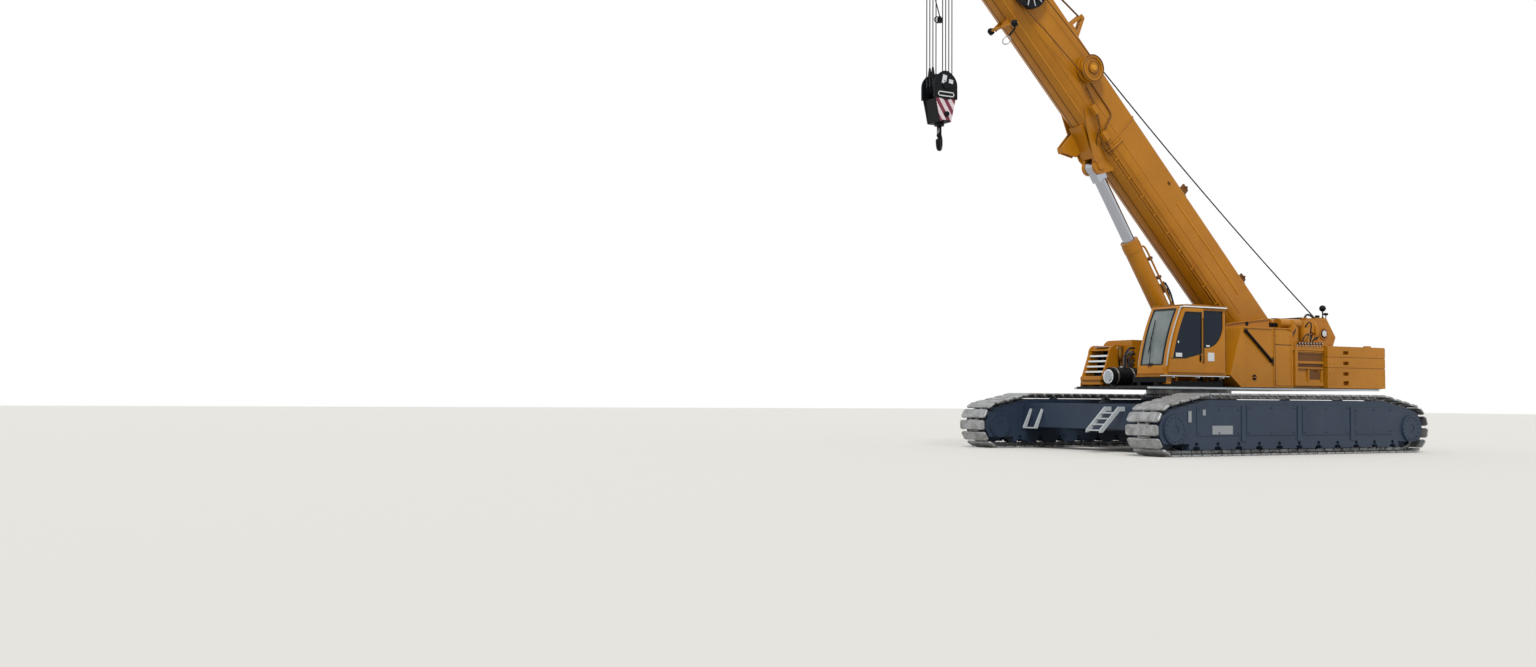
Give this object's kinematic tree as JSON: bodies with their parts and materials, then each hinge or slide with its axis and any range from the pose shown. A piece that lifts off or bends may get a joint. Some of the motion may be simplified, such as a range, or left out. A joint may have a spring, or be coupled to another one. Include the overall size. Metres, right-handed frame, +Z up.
{
  "type": "telescopic crawler crane",
  "caption": "Telescopic crawler crane with slewing superstructure, tilting cab, luffing boom of nested sections, luffing cylinder, winch and hook block on two crawlers.",
  "frame": {"origin": "middle of the crane's footprint box on the ground, under the middle of its whole length and width", "axes": "+X forward along the boom, +Y to the crane's left, +Z up"},
  "size_m": [12.4136, 6.46, 11.7946],
  "materials": {
    "paint_gold": "gloss",
    "paint_slate": "satin",
    "track_steel": "worn",
    "bare_steel": "satin",
    "exhaust_steel": "matte",
    "pale_steel": "satin",
    "black_paint": "satin",
    "rope_steel": "matte",
    "glass": "gloss",
    "seat_fabric": "matte",
    "chrome_rod": "polished"
  },
  "bodies": {
    "undercarriage": {"car_body": "paint_slate", "ladders": "pale_steel", "track_frame_left": "paint_slate", "track_frame_right": "paint_slate", "track_left": "track_steel", "track_right": "track_steel", "wheels_left": "paint_slate", "wheels_right": "paint_slate", "slew_ring": "bare_steel"},
    "superstructure": {"main_frame": "paint_gold", "left_panel": "paint_gold", "engine_house": "paint_gold", "engine_block": "black_paint", "front_steps": "paint_gold", "step_treads": "pale_steel", "exhaust": "exhaust_steel", "fuel_tank": "black_paint", "hydraulic_unit": "paint_gold", "counterweight_base": "paint_gold", "counterweight_stack": "paint_gold", "winch_frame": "paint_gold", "winch_lamp": "black_paint", "walkways": "pale_steel", "cab_console": "paint_gold"},
    "winch_drum": {"hoist_drum": "bare_steel"},
    "cab": {"cab_floor": "paint_gold", "cab_walls": "paint_gold", "cab_roof": "paint_gold", "cab_glass": "glass", "operator_seat": "seat_fabric"},
    "cab_door": {"cab_door": "paint_gold", "door_glass": "glass"},
    "boom_pin": {"boom_foot_pin": "bare_steel"},
    "boom": {"boom_base": "paint_gold"},
    "reel": {"cable_reel": "black_paint"},
    "rope_wheel": {"guide_wheel": "paint_gold"},
    "section_1": {"boom_section_1": "paint_gold"},
    "section_2": {"boom_section_2": "paint_gold"},
    "section_3": {"boom_section_3": "paint_gold"},
    "section_4": {"boom_section_4": "paint_gold"},
    "section_5": {"boom_section_5": "paint_gold", "boom_head": "paint_gold"},
    "sheaves": {"head_sheaves": "bare_steel"},
    "upper_sheaves": {"top_sheaves": "bare_steel"},
    "falls": {"hoist_falls": "rope_steel"},
    "block": {"hook_block": "black_paint"},
    "hook": {"load_hook": "black_paint"},
    "cylinder_pin": {"cylinder_foot_pin": "bare_steel"},
    "barrel": {"cylinder_barrel": "paint_gold"},
    "piston": {"cylinder_piston": "bare_steel"},
    "rod": {"cylinder_rod": "chrome_rod"}
  },
  "joints": [
    {"name": "slewing", "type": "hinge", "parent": "undercarriage", "child": "superstructure", "pos_m": [-1.2893, 0, 1.4], "axis": [0, 0, 1], "continuous": true},
    {"name": "winch_turn", "type": "hinge", "parent": "superstructure", "child": "winch_drum", "pos_m": [-5.46929, 0, 2.82], "axis": [0, 1, 0], "continuous": true},
    {"name": "cab_tilt", "type": "hinge", "parent": "superstructure", "child": "cab", "pos_m": [-0.77929, 0, 1.64], "axis": [0, -1, 0], "range_deg": [0, 20]},
    {"name": "door_slide", "type": "slide", "parent": "cab", "child": "cab_door", "axis": [-1, 0, 0], "range_m": [0, 0.62]},
    {"name": "boom_lower", "type": "hinge", "parent": "superstructure", "child": "boom_pin", "pos_m": [-3.23929, 0, 2.9], "axis": [0, -1, 0], "range_deg": [-45.5, 0]},
    {"name": "boom_raise", "type": "hinge", "parent": "boom_pin", "child": "boom", "pos_m": [-3.23929, 0, 2.9], "axis": [0, -1, 0], "range_deg": [0, 36.5]},
    {"name": "reel_turn", "type": "hinge", "parent": "boom", "child": "reel", "pos_m": [3.94688, 0.55, 9.99869], "axis": [0, 1, 0], "continuous": true},
    {"name": "rope_wheel_turn", "type": "hinge", "parent": "boom", "child": "rope_wheel", "pos_m": [2.2562, 0.55, 8.44946], "axis": [0, 1, 0], "continuous": true},
    {"name": "upper_sheaves_turn", "type": "hinge", "parent": "section_5", "child": "upper_sheaves", "pos_m": [5.1212, 0, 11.56464], "axis": [0, 1, 0], "continuous": true},
    {"name": "telescope_1", "type": "slide", "parent": "boom", "child": "section_1", "axis": [0.7009, 0, 0.7133], "range_m": [0, 9.56]},
    {"name": "telescope_2", "type": "slide", "parent": "section_1", "child": "section_2", "axis": [0.7009, 0, 0.7133], "range_m": [0, 9.56]},
    {"name": "telescope_3", "type": "slide", "parent": "section_2", "child": "section_3", "axis": [0.7009, 0, 0.7133], "range_m": [0, 9.56]},
    {"name": "telescope_4", "type": "slide", "parent": "section_3", "child": "section_4", "axis": [0.7009, 0, 0.7133], "range_m": [0, 9.56]},
    {"name": "telescope_5", "type": "slide", "parent": "section_4", "child": "section_5", "axis": [0.7009, 0, 0.7133], "range_m": [0, 9.56]},
    {"name": "plumb_lower", "type": "hinge", "parent": "section_5", "child": "sheaves", "pos_m": [5.91929, 0, 10.86447], "axis": [0, -1, 0], "range_deg": [-0.01, 45.51]},
    {"name": "plumb_raise", "type": "hinge", "parent": "sheaves", "child": "falls", "pos_m": [5.91929, 0, 10.86447], "axis": [0, -1, 0], "range_deg": [-36.51, 0.01]},
    {"name": "hoist", "type": "slide", "parent": "falls", "child": "block", "axis": [0, 0, -1], "range_m": [-2.5, 6.2], "deforming": ["hoist_falls"]},
    {"name": "hook_swivel", "type": "hinge", "parent": "block", "child": "hook", "pos_m": [5.91929, 0, 6.9], "axis": [0, 0, 1], "continuous": true},
    {"name": "cylinder_lower", "type": "hinge", "parent": "superstructure", "child": "cylinder_pin", "pos_m": [-1.4893, 0, 1.64], "axis": [0, -1, 0], "range_deg": [-53.43, 0.01]},
    {"name": "cylinder_raise", "type": "hinge", "parent": "cylinder_pin", "child": "barrel", "pos_m": [-1.4893, 0, 1.64], "axis": [0, -1, 0], "range_deg": [-0.01, 32.53]},
    {"name": "piston_slide", "type": "slide", "parent": "barrel", "child": "piston", "axis": [0.5456, 0, 0.8381], "range_m": [-1.52756, 0.0005]},
    {"name": "rod_slide", "type": "slide", "parent": "piston", "child": "rod", "axis": [0.5456, 0, 0.8381], "range_m": [-0.0005, 1.27867]}
  ],
  "couplings": [
    {"joint": "cylinder_lower", "follows": "boom_lower", "ratio": 1.174},
    {"joint": "cylinder_raise", "follows": "boom_raise", "ratio": 0.89101},
    {"joint": "piston_slide", "follows": "boom_lower", "m_per_rad": 1.923},
    {"joint": "rod_slide", "follows": "boom_raise", "m_per_rad": 2.0064},
    {"joint": "plumb_lower", "follows": "boom_lower", "ratio": -1},
    {"joint": "plumb_raise", "follows": "boom_raise", "ratio": -1}
  ]
}
